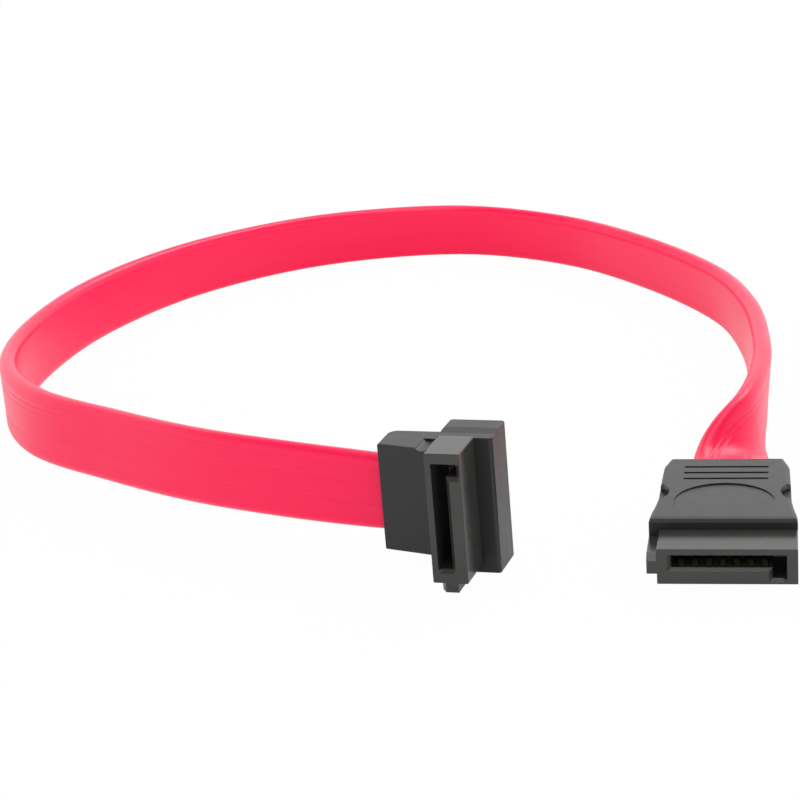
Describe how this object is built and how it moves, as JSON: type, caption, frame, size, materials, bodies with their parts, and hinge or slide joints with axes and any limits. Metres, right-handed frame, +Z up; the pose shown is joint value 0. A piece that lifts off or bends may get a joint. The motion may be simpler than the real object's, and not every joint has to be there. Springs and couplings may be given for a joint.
{
  "type": "sata data cable",
  "caption": "Short flat data cable that joins a drive to a board, with a straight plug on one end, a right-angle plug on the other and a ribbon jacket looped on edge.",
  "frame": {"origin": "on the surface, under the centre of the box of the two plugs, which stand side by side", "axes": "+X from the right-angle plug to the straight plug, +Y from the straight plug's mating face back along its ribbon, +Z up"},
  "size_m": [0.0928, 0.1207, 0.0138],
  "materials": {
    "overmould": "moulded dark grey plastic, fine satin texture",
    "housing": "moulded dark grey plastic, smooth satin",
    "contact": "gold plated spring strip",
    "conductor": "bare copper wire",
    "cable_jacket": "soft glossy red jacket, slightly translucent, with faint lengthwise grooves"
  },
  "bodies": {
    "root": {"straight_overmould": "overmould", "straight_housing": "housing", "straight_contact_1": "contact", "straight_contact_2": "contact", "straight_contact_3": "contact", "straight_contact_4": "contact", "straight_contact_5": "contact", "straight_contact_6": "contact", "straight_contact_7": "contact", "straight_conductor_1": "conductor", "straight_conductor_2": "conductor", "straight_conductor_3": "conductor", "straight_conductor_4": "conductor", "straight_conductor_5": "conductor", "straight_conductor_6": "conductor", "straight_conductor_7": "conductor", "angled_overmould": "overmould", "angled_housing": "housing", "angled_contact_1": "contact", "angled_contact_2": "contact", "angled_contact_3": "contact", "angled_contact_4": "contact", "angled_contact_5": "contact", "angled_contact_6": "contact", "angled_contact_7": "contact", "angled_conductor_1": "conductor", "angled_conductor_2": "conductor", "angled_conductor_3": "conductor", "angled_conductor_4": "conductor", "angled_conductor_5": "conductor", "angled_conductor_6": "conductor", "angled_conductor_7": "conductor", "flat_cable": "cable_jacket"}
  },
  "joints": []
}
